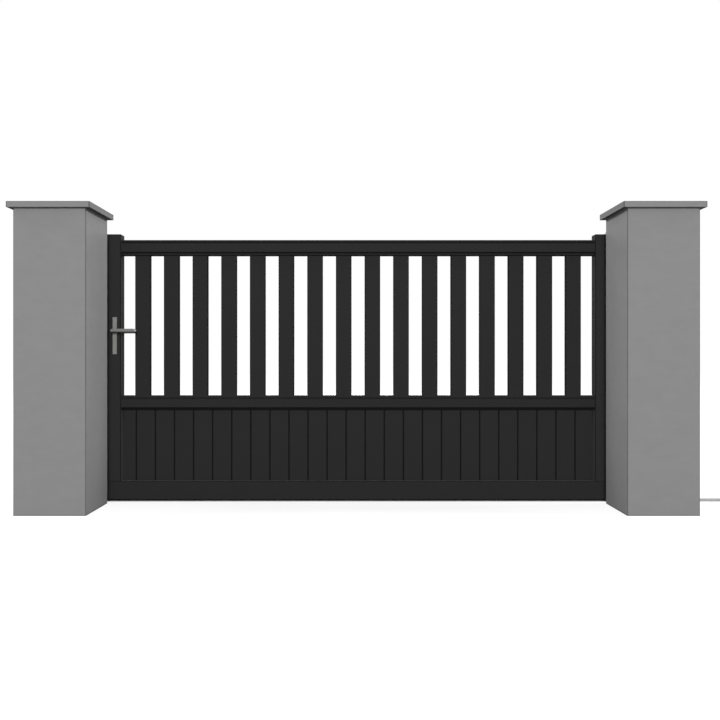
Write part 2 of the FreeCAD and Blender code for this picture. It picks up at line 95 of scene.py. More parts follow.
class Finish:
    """The node tree of one surface, made node by node on the coordinates of the object."""

    def __init__(self, owner):
        owner.use_nodes = True
        self.owner = owner
        self.tree = owner.node_tree
        self.tree.nodes.clear()

    def add(self, kind, settings=None, sockets=None):
        """One node: its settings first, then the values or links of its sockets."""
        node = self.tree.nodes.new(kind)
        for name, value in (settings or {}).items():
            setattr(node, name, value)
        for key, value in (sockets or {}).items():
            if isinstance(value, Level):
                value = value.socket
            if isinstance(value, bpy.types.NodeSocket):
                self.tree.links.new(value, node.inputs[key])
            else:
                node.inputs[key].default_value = value
        return node

    def place(self):
        return self.add("ShaderNodeTexCoord").outputs["Object"]

    def axis(self, index, output="Object"):
        """One coordinate of the place on the object, or of its normal."""
        vector = self.add("ShaderNodeTexCoord").outputs[output]
        return Level(self, self.add("ShaderNodeSeparateXYZ", None, {0: vector}).outputs[index])

    def grain(self, size, detail=2.0, stretch=(1.0, 1.0, 1.0)):
        """Noise whose spots are about size metres across, drawn out by stretch along each axis."""
        scale = [1.0 / (size * factor) for factor in stretch]
        mapping = self.add("ShaderNodeMapping", None, {"Vector": self.place(), "Scale": scale})
        noise = self.add(
            "ShaderNodeTexNoise", None,
            {"Vector": mapping.outputs[0], "Scale": 1.0, "Detail": detail, "Roughness": 0.55},
        )
        return Level(self, noise.outputs[0])

    def cells(self, size, output):
        """Cells about size metres across: a random shade for each, or the distance from its middle."""
        node = self.add("ShaderNodeTexVoronoi", None, {"Vector": self.place(), "Scale": 1.0 / size})
        if output == "Distance":
            return Level(self, node.outputs["Distance"])
        shades = self.add("ShaderNodeSeparateColor", None, {0: node.outputs["Color"]})
        return Level(self, shades.outputs[0])

    def between(self, mask, low, high):
        """Colour that runs from low to high as the mask goes from 0 to 1; a number stands for a grey."""
        ends = []
        for end in (low, high):
            if isinstance(end, float):
                end = (end, end, end)
            ends.append((*end, 1.0) if isinstance(end, tuple) else end)
        node = self.add("ShaderNodeMix", {"data_type": "RGBA"}, {0: mask, 6: ends[0], 7: ends[1]})
        return node.outputs[2]

    def relief(self, height, depth, strength=1.0):
        """Bump of that depth in metres."""
        node = self.add(
            "ShaderNodeBump", None, {"Height": height, "Distance": depth, "Strength": strength}
        )
        return node.outputs[0]

    def coat(self, colour, roughness, metallic=0.0, normal=None, specular=0.5):
        """Close the tree with the surface itself."""
        sockets = {
            "Base Color": colour, "Roughness": roughness, "Metallic": metallic,
            "Specular IOR Level": specular,
        }
        if normal is not None:
            sockets["Normal"] = normal
        shader = self.add("ShaderNodeBsdfPrincipled", None, sockets)
        self.add("ShaderNodeOutputMaterial", None, {0: shader.outputs[0]})
        return self.owner


def new_finish(name):
    return Finish(bpy.data.materials.new(name))


def dress(material, *names):
    """Give CAD nodes their finish."""
    for name in names:
        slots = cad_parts[name].material_slots
        for slot in slots:
            slot.material = material


render = new_finish("fine_sand_render")
sand = render.grain(sand_grain, 3.0)
clouds = render.grain(float_cloud, 4.0, (1.0, 1.0, 0.7))
sweeps = render.grain(float_sweep, 2.0, (5.0, 5.0, 1.0))
shade = 0.5 + 0.7 * (sand - 0.5) + 0.5 * (clouds - 0.5) + 0.25 * (sweeps - 0.5)
splash = 1.0 - render.axis(2).ramp(0.0, splash_height)
shade = (shade - 0.16 * splash * clouds).clipped()
off_x = render.axis(0).off_centre(0.0, pillar_spacing)
off_y = render.axis(1).off_centre(0.0, pillar_spacing)
bead = off_x.ramp(arris_start, arris_start + edge_blur) * off_y.ramp(arris_start, arris_start + edge_blur)
# A darker band, 4.5 mm high, along the foot of each pillar.
dark_foot = 1.0 - render.axis(2).ramp(foot_height - edge_blur, foot_height)
floated = render.between(shade, render_dark, render_pale)
fine_render = render.coat(
    render.between((bead + dark_foot).clipped(), floated, bead_grey),
    0.9,
    normal=render.relief(sand * 0.75 + sweeps * 0.25, sand_relief, 0.8),
    specular=mineral_gloss,
)
dress(fine_render, "left_pillar", "right_pillar")

# Caps: flat slabs of cast concrete bedded on the pillars, smooth from the mould with a few pinholes and dark
# along the rim. Their ends and undersides are painted darker as painted shade. A bead of bedding mortar
# closes the joint under each overhang.
cap_dark = 0.23
cap_pale = 0.25
side_shade_share = 0.78
under_shade_share = 0.66
rim_grey = 0.06
rim_start = 0.1952
rim_level = 1.5054
rim_blur = 0.0008
pinhole = 0.0075
facing = (0.7, 0.95)
mortar_dark = 0.17
mortar_pale = 0.23
bead_leg = 0.002
bead_key = 0.002
bead_foot = 0.0006
pillar_half = 0.175
pillar_top = 1.48
pillar_centres = (0.0, pillar_spacing)

concrete = new_finish("cast_concrete")
clouds = concrete.grain(0.05, 5.0)
fines = concrete.grain(0.0022, 2.0)
spots = 1.0 - concrete.cells(pinhole, "Distance").ramp(0.05, 0.12)
pinholes = spots * concrete.grain(0.012, 1.0).ramp(0.55, 0.6)
shade = (0.5 + 0.5 * (clouds - 0.5) + 0.3 * (fines - 0.5) - 0.8 * pinholes).clipped()
off_x = concrete.axis(0).off_centre(0.0, pillar_spacing).ramp(rim_start, rim_start + edge_blur)
off_y = concrete.axis(1).off_centre(0.0, pillar_spacing).ramp(rim_start, rim_start + edge_blur)
upper = concrete.axis(2).ramp(rim_level, rim_level + rim_blur)
rim = (off_x * off_y + upper * (off_x + off_y)).clipped() * (0.6 + 0.8 * (clouds - 0.3)).clipped()
weathered = concrete.between(shade, cap_dark, cap_pale)
# Painted shade: faces that turn to the ends of the gate and faces that turn down are painted darker.
cap_painted_side_shade = concrete.between(shade, cap_dark * side_shade_share, cap_pale * side_shade_share)
cap_painted_under_shade = concrete.between(shade, cap_dark * under_shade_share, cap_pale * under_shade_share)
to_side = concrete.axis(0, "Normal").off_centre(0.0, 4.0).ramp(*facing)
downward = (0.0 - concrete.axis(2, "Normal")).ramp(*facing)
skin = concrete.between(downward, concrete.between(to_side, weathered, cap_painted_side_shade), cap_painted_under_shade)
cast_concrete = concrete.coat(
    concrete.between(rim, skin, rim_grey),
    0.82,
    normal=concrete.relief(fines * 0.3 - pinholes, 0.0004, 0.7),
    specular=mineral_gloss,
)
dress(cast_concrete, "left_pillar_cap", "right_pillar_cap")

mortar = new_finish("bedding_mortar")
grains = mortar.grain(0.0018, 3.0)
bedding_mortar = mortar.coat(
    mortar.between(grains, mortar_dark, mortar_pale),
    0.93,
    normal=mortar.relief(grains, 0.0005),
    specular=mineral_gloss,
)


def closed_mesh(name, shape):
    """Mesh of a closed shape, with its faces turned outwards."""
    bmesh.ops.recalc_face_normals(shape, faces=shape.faces)
    mesh = bpy.data.meshes.new(name)
    shape.to_mesh(mesh)
    shape.free()
    return mesh


bead = bmesh.new()
bead_profile = ((pillar_half - bead_key, pillar_top), (pillar_half - bead_key, pillar_top - bead_leg),
                (pillar_half + bead_foot, pillar_top - bead_leg), (pillar_half + bead_leg, pillar_top))
for centre in pillar_centres:
    rings = []
    for reach, z in bead_profile:
        corners = ((-reach, -reach), (reach, -reach), (reach, reach), (-reach, reach))
        rings.append([bead.verts.new((centre + x, y, z)) for x, y in corners])
    for inner, outer in zip(rings, rings[1:] + rings[:1]):
        for k in range(4):
            bead.faces.new((inner[k], inner[k - 1], outer[k - 1], outer[k]))
mesh = closed_mesh("cap_mortar_beads", bead)
mesh.materials.append(bedding_mortar)
mortar_beads = bpy.data.objects.new("cap_mortar_beads", mesh)
bpy.context.scene.collection.objects.link(mortar_beads)
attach(mortar_beads, "posts")

# Ground track: rolled steel, galvanised, with a dull spangle of zinc crystals and a bright line rubbed by the
# wheels along the ridge. Low round-headed anchors with a hexagon socket hold it down in pairs.
zinc_dark = 0.18
zinc_pale = 0.31
spangle = 0.011
zinc_bloom = 0.06
ridge_line = 0.0125
ridge_blur = 0.0015
rubbed_lift = 0.12
anchor_count = 6
anchor_first = (0.2125, 0.2355, 0.003)
anchor_step = (1.0, 0.0, 0.0)
anchor_row_step = (0.0, 0.037, 0.0)
anchor_head = ((0.0072, 0.0, 0), (0.0074, 0.0008, 0), (0.006, 0.0017, 0), (0.0042, 0.002, 0),
               (0.0021, 0.002, 1), (0.002, 0.0009, 1))

zinc = new_finish("galvanised_steel")
crystals = zinc.cells(spangle, "Color")
bloom = zinc.grain(zinc_bloom, 4.0)
shade = (0.2 + 0.4 * crystals + 0.45 * bloom).clipped()
galvanised = zinc.coat(
    zinc.between(shade, (zinc_dark, zinc_dark * 1.01, zinc_dark * 1.02), (zinc_pale, zinc_pale, zinc_pale)),
    0.42 + 0.16 * bloom + 0.08 * crystals,
    metallic=0.75,
    normal=zinc.relief(zinc.grain(0.004, 2.0), 0.00015, 0.5),
)
dress(galvanised, "receiver_channel", "guide_bracket", "track_end_stop", "wheel_carriages")

track = new_finish("galvanised_track")
rubbed = track.axis(2).ramp(ridge_line - ridge_blur, ridge_line)
bloom = track.grain(zinc_bloom, 4.0)
shade = (0.2 + 0.3 * track.cells(spangle, "Color") + 0.4 * bloom + 0.5 * rubbed).clipped()
dress(
    track.coat(
        track.between(shade, zinc_dark, zinc_pale + rubbed_lift),
        (0.5 + 0.14 * bloom - 0.24 * rubbed).clipped(),
        metallic=0.75,
        normal=track.relief(track.grain(0.003, 2.0, (6.0, 1.0, 1.0)), 0.00012, 0.5),
    ),
    "ground_track",
)

bright_zinc = new_finish("zinc_plated_fasteners")
tarnish = bright_zinc.grain(0.003, 3.0)
plated = bright_zinc.coat(
    bright_zinc.between(tarnish, (0.3, 0.3, 0.287), (0.48, 0.48, 0.458)),
    0.34 + 0.2 * tarnish,
    metallic=0.85,
)


def turned_shape(name, rings, sides=24):
    """Closed shape round Z through rings of (radius, height, 1 for a hexagon of that half width)."""
    shape = bmesh.new()
    loops = []
    for radius, height, is_hexagon in rings:
        loop = []
        for k in range(sides):
            angle = 2 * math.pi * k / sides
            reach = radius
            if is_hexagon:
                reach = radius / math.cos(angle % (math.pi / 3) - math.pi / 6)
            loop.append(shape.verts.new((reach * math.cos(angle), reach * math.sin(angle), height)))
        loops.append(loop)
    for low, high in zip(loops, loops[1:]):
        for k in range(sides):
            following = (k + 1) % sides
            shape.faces.new((low[k], low[following], high[following], high[k]))
    shape.faces.new(list(reversed(loops[0])))
    shape.faces.new(loops[-1])
    mesh = bpy.data.meshes.new(name)
    shape.to_mesh(mesh)
    shape.free()
    return mesh


def rows_tree():
    """Node tree that sets one shape out in rows, each copy turned a little about its own axis."""
    tree = bpy.data.node_groups.new("shapes_in_rows", "GeometryNodeTree")
    sockets = (
        ("Geometry", "NodeSocketGeometry"), ("First", "NodeSocketVector"), ("Step", "NodeSocketVector"),
        ("Count", "NodeSocketInt"), ("Row step", "NodeSocketVector"), ("Rows", "NodeSocketInt"),
        ("Turn", "NodeSocketVector"), ("Twist", "NodeSocketFloat"), ("Seed", "NodeSocketInt"),
        ("Finish", "NodeSocketMaterial"),
    )
    for label, kind in sockets:
        tree.interface.new_socket(label, in_out="INPUT", socket_type=kind)
    tree.interface.new_socket("Geometry", in_out="OUTPUT", socket_type="NodeSocketGeometry")

    def add(kind, links):
        node = tree.nodes.new(kind)
        for key, socket in links.items():
            tree.links.new(socket, node.inputs[key])
        return node

    given = add("NodeGroupInput", {}).outputs
    starts = add("GeometryNodeMeshLine",
                 {"Count": given["Rows"], "Start Location": given["First"], "Offset": given["Row step"]})
    row = add("GeometryNodeMeshLine", {"Count": given["Count"], "Offset": given["Step"]})
    places = add("GeometryNodeInstanceOnPoints", {"Points": starts.outputs[0], "Instance": row.outputs[0]})
    points = add("GeometryNodeRealizeInstances", {0: places.outputs[0]})
    copies = add("GeometryNodeInstanceOnPoints",
                 {"Points": points.outputs[0], "Instance": given["Geometry"], "Rotation": given["Turn"]})
    chance = add("FunctionNodeRandomValue", {"Seed": given["Seed"]})
    angle = add("ShaderNodeMath", {0: chance.outputs[1], 1: given["Twist"]})
    angle.operation = "MULTIPLY"
    about = add("ShaderNodeCombineXYZ", {2: angle.outputs[0]})
    turned = add("GeometryNodeRotateInstances",
                 {"Instances": copies.outputs[0], "Rotation": about.outputs[0]})
    whole = add("GeometryNodeRealizeInstances", {0: turned.outputs[0]})
    dressed = add("GeometryNodeSetMaterial", {"Geometry": whole.outputs[0], "Material": given["Finish"]})
    add("NodeGroupOutput", {0: dressed.outputs[0]})
    return tree


in_rows = rows_tree()


def set_out(name, mesh, body, material, first, step=(0, 0, 0), count=1, row_step=(0, 0, 0), rows=1,
            turn=(0, 0, 0), twist=1.0, seed=1):
    """Fit copies of a small shape in rows, as one piece that rides on a body."""
    shape = bpy.data.objects.new(name + "_shape", mesh)
    bpy.context.scene.collection.objects.link(shape)
    modifier = shape.modifiers.new("rows", "NODES")
    modifier.node_group = in_rows
    values = {"First": first, "Step": step, "Count": count, "Row step": row_step, "Rows": rows,
              "Turn": turn, "Twist": twist, "Seed": seed, "Finish": material}
    for item in in_rows.interface.items_tree:
        if item.in_out == "INPUT" and item.name in values:
            modifier[item.identifier] = values[item.name]
    graph = bpy.context.evaluated_depsgraph_get()
    result = bpy.data.meshes.new_from_object(shape.evaluated_get(graph))
    bpy.data.objects.remove(shape)
    piece = bpy.data.objects.new(name, result)
    bpy.context.scene.collection.objects.link(piece)
    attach(piece, body)


set_out("track_anchors", turned_shape("anchor_head", anchor_head), "posts", plated,
        anchor_first, anchor_step, anchor_count, anchor_row_step, 2, seed=3)

# End stop: a folded steel angle with a welded gusset, galvanised and bolted through the end of the track.
# Two hexagon-headed bolts on washers hold its foot.
hexagon_bolt = ((0.0085, 0.0, 0), (0.0085, 0.0016, 0), (0.0064, 0.0016, 0), (0.0064, 0.0018, 1),
                (0.0064, 0.0062, 1), (0.0058, 0.0071, 0))
weld_ripple = ((0.0012, -0.0022, 0), (0.0026, -0.0012, 0), (0.003, 0.0, 0), (0.0026, 0.0012, 0),
               (0.0012, 0.0022, 0))
stop_bolt_first = (5.3005, 0.2355, 0.011)
weld_start = (5.277, 0.2498, 0.011)
ripple_step = (0.0019, 0.0, 0.0)
ripple_count = 22
weld_spacing = (0.0, 0.0084, 0.0)
turned_right = (0.0, math.pi / 2, 0.0)
set_out("end_stop_bolts", turned_shape("end_stop_bolt", hexagon_bolt), "posts", plated,
        stop_bolt_first, row_step=anchor_row_step, rows=2, seed=5)
set_out("end_stop_welds", turned_shape("end_stop_ripple", weld_ripple, 10), "posts",
        galvanised, weld_start, ripple_step, ripple_count, weld_spacing, 2, turn=turned_right, seed=7)

# Receiver and buffers: a galvanised channel that the closed leaf runs into, bolted to the back of the left
# pillar through its flange, with moulded black rubber blocks in it and a round one on the end stop, each held
# by a screw sunk in its face.
rubber = new_finish("moulded_rubber")
dusting = rubber.grain(0.02, 4.0)
skin = rubber.grain(0.0009, 2.0)
black_rubber = rubber.coat(
    rubber.between(dusting, 0.012, 0.028), 0.62 + 0.2 * dusting, normal=rubber.relief(skin, 0.0001)
)
dress(black_rubber, "rubber_buffers")
wall_bolt = ((0.0105, 0.0, 0), (0.0105, 0.002, 0), (0.008, 0.002, 0), (0.008, 0.0022, 1),
             (0.008, 0.0078, 1), (0.0072, 0.0088, 0))
buffer_screw = ((0.0062, -0.0004, 0), (0.0062, 0.0002, 0), (0.0054, 0.0008, 0), (0.0028, 0.0011, 1),
                (0.0027, -0.0002, 1))
leaf_middle = 0.254
turned_left = (0.0, -math.pi / 2, 0.0)
turned_back = (-math.pi / 2, 0.0, 0.0)
stop_screw_place = (5.2375, leaf_middle, 0.062)
block_screw_first = (0.1275, leaf_middle, 0.33)
block_step = (0.0, 0.0, 0.765)
receiver_bolt_first = (0.066, 0.18, 0.16)
receiver_bolt_step = (0.0, 0.0, 0.5525)
set_out("stop_buffer_screw", turned_shape("stop_buffer_screw", buffer_screw), "posts",
        plated, stop_screw_place, turn=turned_left, seed=43)
set_out("block_screws", turned_shape("block_screw", buffer_screw), "posts",
        plated, block_screw_first, block_step, 2, turn=turned_right, seed=47)
set_out("receiver_bolts", turned_shape("receiver_bolt", wall_bolt), "posts",
        plated, receiver_bolt_first, receiver_bolt_step, 3, turn=turned_back, seed=11)

# Guide: a galvanised arm on the back of the right pillar that reaches over the leaf. Two nylon rollers turn
# on pins that hang from it, one on each side of the top rail, and the pins are nutted on top of the arm.
nylon = new_finish("turned_nylon")
rings = nylon.grain(0.0012, 2.0, (12.0, 12.0, 1.0))
scuffs = nylon.grain(0.009, 4.0, (1.0, 1.0, 3.0))
turned_nylon = nylon.coat(
    nylon.between(scuffs, 0.022, 0.05), 0.38 + 0.2 * scuffs, normal=nylon.relief(rings, 0.00008, 0.6)
)
dress(turned_nylon, "guide_rollers", "wheels")
pin_nut = ((0.0105, 0.0, 0), (0.0105, 0.002, 0), (0.008, 0.002, 0), (0.008, 0.0023, 1), (0.008, 0.0098, 1),
           (0.0074, 0.0104, 0), (0.0049, 0.0104, 0), (0.0049, 0.0142, 0), (0.0041, 0.015, 0))
guide_bolt_first = (2.86, 0.183, 1.316)
guide_bolt_step = (0.0, 0.0, 0.05)
pin_nut_first = (2.82, 0.2032, 1.426)
pin_nut_step = (0.0, 0.1016, 0.0)
set_out("guide_bolts", turned_shape("guide_bolt", wall_bolt), "posts",
        plated, guide_bolt_first, guide_bolt_step, 2, turn=turned_back, seed=13)
set_out("guide_pin_nuts", turned_shape("guide_pin_nut", pin_nut), "posts",
        plated, pin_nut_first, pin_nut_step, 2, seed=17)

# Leaf frame: extruded aluminium, two stiles welded on a deep bottom rail and two rails between them, all in
# one near-black powder coat. The coat has a fine texture like very fine sandpaper and is nearly matt.
coat_dark = 0.0226
coat_pale = 0.028
coat_texture = 0.0009
# Paler tone on upward faces: dust, and a painted highlight along the top edges.
dust_and_highlight_tone = 0.1
edge_shade_tone = 0.008
bottom_band_tone = 0.005
joint_shade_tone = 0.0135
stile_light_lift = 1.1
leaf_left = 0.1325
leaf_right = 2.8325
inner_left = 0.2325
inner_right = 2.7325
# Painted shade: these marks darken the edges of the stiles, the infill rails and the slats, the joint where
# the boards stand on the bottom rail, and the boards beside their joints.
stile_edge = (0, 0.1825, 2.6, 0.0465, 0.05, edge_shade_tone)
top_rail_edges = (2, 1.3405, 9.0, 0.023, 0.0265, edge_shade_tone)
mid_rail_edge = (2, 0.545, 9.0, 0.0, 0.0035, edge_shade_tone)
bottom_rail_edge = (2, 0.11, 9.0, 0.0, 0.004, joint_shade_tone)
# A darker band along the foot of the bottom rail.
bottom_rail_band = (2, 0.01, 9.0, 0.0, 0.0045, bottom_band_tone)
board_joints = (0, inner_right, 0.101, 0.0, 0.0048, joint_shade_tone)


def powder_coated(name, *marks, lift=1.0):
    """The powder coat, paler where it faces up, as dust and as a painted highlight. Marks are darker bands:
    painted shade along edges and joints, and a band along the bottom.

    A mark has an axis, the first and the spacing of its middle lines, where it starts and ends beside them,
    and its tone.
    """
    finish = new_finish(name)
    texture = finish.grain(coat_texture, 2.0)
    drift = finish.grain(0.12, 3.0)
    film = (0.5 + 0.35 * (texture - 0.5) + 0.5 * (drift - 0.5)).clipped()
    tone = finish.between(film, coat_dark * lift, coat_pale * lift)
    for axis, first, spacing, inner, outer, mark_tone in marks:
        off = finish.axis(axis).off_centre(first, spacing)
        band = off.ramp(inner - edge_blur, inner) * (1.0 - off.ramp(outer - edge_blur, outer))
        tone = finish.between(band, tone, mark_tone)
    # Dust and painted highlight on the faces that turn up.
    dust_and_highlight = finish.axis(2, "Normal").ramp(*facing) * (0.5 + drift)
    return finish.coat(
        finish.between(dust_and_highlight.clipped(), tone, dust_and_highlight_tone),
        0.86 + 0.12 * (texture - 0.5) + 0.06 * (drift - 0.5),
        normal=finish.relief(texture, 0.00012, 0.5),
        specular=0.02,
    )


# Painted light: the stiles' coat is painted 10% lighter against the shade that the pillars cast on them.
stile_coat = powder_coated("stile_powder_coat", stile_edge, lift=stile_light_lift)
dress(stile_coat, "left_stile", "right_stile", "stile_caps")
dress(powder_coated("top_rail_powder_coat", top_rail_edges), "top_rail")
dress(powder_coated("mid_rail_powder_coat", mid_rail_edge), "mid_rail")
bottom_coat = powder_coated("bottom_rail_powder_coat", bottom_rail_edge, bottom_rail_band)
dress(bottom_coat, "bottom_rail", "bottom_rail_caps")

cover_plug = ((0.0062, -0.001, 0), (0.0062, 0.0004, 0), (0.0054, 0.001, 0), (0.002, 0.0012, 0))
plug_first = (leaf_right, leaf_middle, 0.509)
plug_step = (0.0, 0.0, 0.024)
rail_spacing = (0.0, 0.0, 0.821)
set_out("stile_cover_plugs", turned_shape("stile_cover_plug", cover_plug), "leaf",
        stile_coat, plug_first, plug_step, 2, rail_spacing, 2, turn=turned_right, seed=19)

# Slats: sixteen hollow bars of extruded aluminium with bevelled edges, pushed up through the holes in the top
# rail and let down into those of the middle rail. They have the same coat, with painted shade on the bevels.
slat_count = 16
slat_edges = (0, 0.3429412, 0.1519412, 0.038, 0.0415, edge_shade_tone)
slat_names = [f"slat_{number + 1:02d}" for number in range(slat_count)]
dress(powder_coated("slat_powder_coat", slat_edges), *slat_names)

# Boards: hollow tongue-and-groove boards of extruded aluminium in the same coat, painted darker beside their
# joints as painted shade. A sloping bead is clipped in beside the first and the last of them.
bead_low = 0.1102
bead_high = 0.4818
bead_width = 0.012
bead_edge = 0.0012
bead_heel = 0.2415
bead_toe = 0.2205
bead_light_lift = 1.25
dress(powder_coated("board_powder_coat", board_joints), "lower_boards")


def add_bar(shape, start, end):
    """Straight bar between two equal outlines, each a list of corners."""
    ends = [[shape.verts.new(corner) for corner in outline] for outline in (start, end)]
    shape.faces.new(ends[0])
    shape.faces.new(ends[1][::-1])
    for k in range(len(start)):
        shape.faces.new((ends[0][k], ends[0][k - 1], ends[1][k - 1], ends[1][k]))


beads = bmesh.new()
for stile_face, inward in ((inner_left, 1), (inner_right, -1)):
    for side in (-1, 1):
        heel = leaf_middle + side * (leaf_middle - bead_heel)
        toe = leaf_middle + side * (leaf_middle - bead_toe)
        section = ((stile_face, heel), (stile_face, toe), (stile_face + inward * bead_edge, toe),
                   (stile_face + inward * bead_width, heel + side * bead_edge),
                   (stile_face + inward * bead_width, heel))
        add_bar(beads, *([(x, y, z) for x, y in section] for z in (bead_low, bead_high)))
mesh = closed_mesh("board_edge_beads", beads)
# Painted light: the beads' coat is painted 25% lighter, for faces that turn away from the lamps.
mesh.materials.append(powder_coated("bead_powder_coat", lift=bead_light_lift))
edge_beads = bpy.data.objects.new("board_edge_beads", mesh)
bpy.context.scene.collection.objects.link(edge_beads)
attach(edge_beads, "leaf")

# Gaskets: black rubber strips pressed into the corners where the narrow beads of the two infill rails meet
# their wide faces. They keep water out of the joints; their near-black tone is painted shade for these
# corners and shows as dark lines along the rails.
gasket_lip = 0.0022
gasket_ends = (0.2327, 2.7323)
lip_share = 0.7
bead_front = 0.0155
gasket_runs = ((1.367, 1.374), (1.2993, 1.303), (0.4822, 0.497))
gasket = new_finish("gasket_rubber_and_painted_shade")
dusting = gasket.grain(0.03, 3.0)
gasket_rubber_and_painted_shade = gasket.coat(
    gasket.between(dusting, 0.004, 0.007),
    0.7 + 0.15 * dusting,
    normal=gasket.relief(gasket.grain(0.0012), 0.0001),
    specular=0.05,
)
strips = bmesh.new()
for z_low, z_high in gasket_runs:
    for side in (-1, 1):
        section = [(0.0, z_low), (gasket_lip * lip_share, z_low)]
        for share in (0.25, 0.5, 0.75):
            section.append((gasket_lip, z_low + share * (z_high - z_low)))
        section += [(gasket_lip * lip_share, z_high), (0.0, z_high)]
        outline = [(leaf_middle + side * (bead_front + out), z) for out, z in section]
        add_bar(strips, *([(x, y, z) for y, z in outline] for x in gasket_ends))
mesh = closed_mesh("rail_gaskets", strips)
mesh.materials.append(gasket_rubber_and_painted_shade)
rail_gaskets = bpy.data.objects.new("rail_gaskets", mesh)
bpy.context.scene.collection.objects.link(rail_gaskets)
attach(rail_gaskets, "leaf")

# Lock: a mortice lock of zinc-plated steel let into the edge of the left stile. Its front is held by two
# countersunk screws, and the nose of its hook lies back in its slot, opposite a keeper in the receiver.
countersunk = ((0.0036, -0.0006, 0), (0.0036, 0.0003, 0), (0.0017, 0.0003, 1), (0.0016, -0.0004, 1))
lock_steel = new_finish("zinc_plated_lock")
brushing = lock_steel.grain(0.0006, 2.0, (1.0, 1.0, 30.0))
dress(
    lock_steel.coat(
        lock_steel.between(brushing, (0.26, 0.26, 0.25), (0.4, 0.4, 0.386)),
        0.34 + 0.16 * brushing,
        metallic=0.85,
        normal=lock_steel.relief(brushing, 0.00004, 0.5),
    ),
    "lock_case", "lever_spindle",
)
lock_screw_first = (leaf_left, leaf_middle, 0.7705)
lock_screw_step = (0.0, 0.0, 0.215)
end_screw_corner = (0.228, 0.045)
end_screw_step = (0.0, 0.0, 0.042)
end_screw_row_step = (0.0, 0.052, 0.0)
set_out("lock_front_screws", turned_shape("lock_front_screw", countersunk), "leaf", plated,
        lock_screw_first, lock_screw_step, 2, turn=turned_left, seed=23)
set_out("end_plate_screws_left", turned_shape("end_plate_screw", countersunk), "leaf", plated,
        (leaf_left, *end_screw_corner), end_screw_step, 2, end_screw_row_step, 2, turn=turned_left, seed=31)
set_out("end_plate_screws_right", turned_shape("end_plate_screw", countersunk), "leaf", plated,
        (leaf_right, *end_screw_corner), end_screw_step, 2, end_screw_row_step, 2, turn=turned_right, seed=37)

lock_level = 0.878
corner_steps = 32
edge_share = 0.2


def upright_plate(name, x_back, x_front, outline, hole=None):
    """Plate that stands across the gate at the lock, with round corners and a softened front edge.

    The outline and the hole are each half a width, half a height and a corner radius.
    """
    shape = bmesh.new()
    soft = edge_share * abs(x_front - x_back) * (1 if x_front > x_back else -1)

    def ring(x, inset, half_y, half_z, radius):
        loop = []
        for k in range(corner_steps):
            angle = 2 * math.pi * k / corner_steps
            y_side = 1 if math.cos(angle) > 0 else -1
            z_side = 1 if math.sin(angle) > 0 else -1
            y = y_side * (half_y - radius) + (radius - inset) * math.cos(angle)
            z = z_side * (half_z - radius) + (radius - inset) * math.sin(angle)
            loop.append(shape.verts.new((x, leaf_middle + y, lock_level + z)))
        return loop

    rings = [ring(x_back, 0.0, *outline), ring(x_front - soft, 0.0, *outline),
             ring(x_front, abs(soft), *outline)]
    if hole:
        rings += [ring(x_front, 0.0, *hole), ring(x_back, 0.0, *hole)]
        rings.append(rings[0])
    for low, high in zip(rings, rings[1:]):
        for k in range(corner_steps):
            shape.faces.new((low[k], low[k - 1], high[k - 1], high[k]))
    if not hole:
        shape.faces.new(rings[0])
        shape.faces.new(rings[-1][::-1])
    return closed_mesh(name, shape)


def fit(name, mesh, body, material):
    """Fit a mesh as one piece that rides on a body."""
    mesh.materials.append(material)
    piece = bpy.data.objects.new(name, mesh)
    bpy.context.scene.collection.objects.link(piece)
    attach(piece, body)


lock_back = 0.1335
slot_front = 0.1323
nose_front = 0.1317
keeper_back = 0.1083
keeper_front = 0.1108
pocket_front = 0.1088
slot_outline = (0.0055, 0.033, 0.003)
nose_outline = (0.0022, 0.026, 0.002)
keeper_outline = (0.012, 0.078, 0.004)
keeper_hole = (0.0062, 0.036, 0.003)
pocket_outline = (0.0066, 0.0364, 0.0032)
keeper_screw_first = (keeper_front, leaf_middle, 0.818)
keeper_screw_step = (0.0, 0.0, 0.12)
# Painted shade: the slot and the pocket in the keeper are thin near-black plates that stand for the dark
# openings.
fit("lock_hook_slot_shade", upright_plate("lock_hook_slot_shade", lock_back, slot_front, slot_outline),
    "leaf", gasket_rubber_and_painted_shade)
fit("lock_hook_nose", upright_plate("lock_hook_nose", lock_back, nose_front, nose_outline),
    "leaf", plated)
fit("lock_keeper", upright_plate("lock_keeper", keeper_back, keeper_front, keeper_outline, keeper_hole),
    "posts", plated)
fit("lock_keeper_pocket_shade", upright_plate("lock_keeper_pocket_shade", keeper_back, pocket_front, pocket_outline),
    "posts", gasket_rubber_and_painted_shade)
set_out("lock_keeper_screws", turned_shape("lock_keeper_screw", countersunk), "posts", plated,
        keeper_screw_first, keeper_screw_step, 2, turn=turned_right, seed=41)

# Lever furniture: narrow plates with softened edges and a lever of round bar with mitred corners, front and
# back, in satin anodised aluminium with a fine grain along the metal. The lever has painted shade underneath
# and a painted highlight on its faces that turn towards +X.
satin_dark = 0.185
satin_pale = 0.235
under_shade_tone = 0.02
end_highlight_tone = 0.5
brush_grain = 0.00035
satin_gloss = 0.25
satin = new_finish("satin_anodised")
brushing = satin.grain(brush_grain, 2.0, (1.0, 1.0, 40.0))
wear = satin.grain(0.02, 4.0)
shade = (0.5 + 0.5 * (brushing - 0.5) + 0.35 * (wear - 0.5)).clipped()
satin_ends = [(grey, grey, grey * 0.97) for grey in (satin_dark, satin_pale)]
dress(
    satin.coat(
        satin.between(shade, *satin_ends),
        0.44 + 0.1 * brushing,
        normal=satin.relief(brushing, 0.00003, 0.4),
        specular=satin_gloss,
    ),
    "lock_plate_front", "lock_plate_back",
)
lever_bar = new_finish("satin_anodised_bar")
brushing = lever_bar.grain(brush_grain, 2.0, (40.0, 1.0, 1.0))
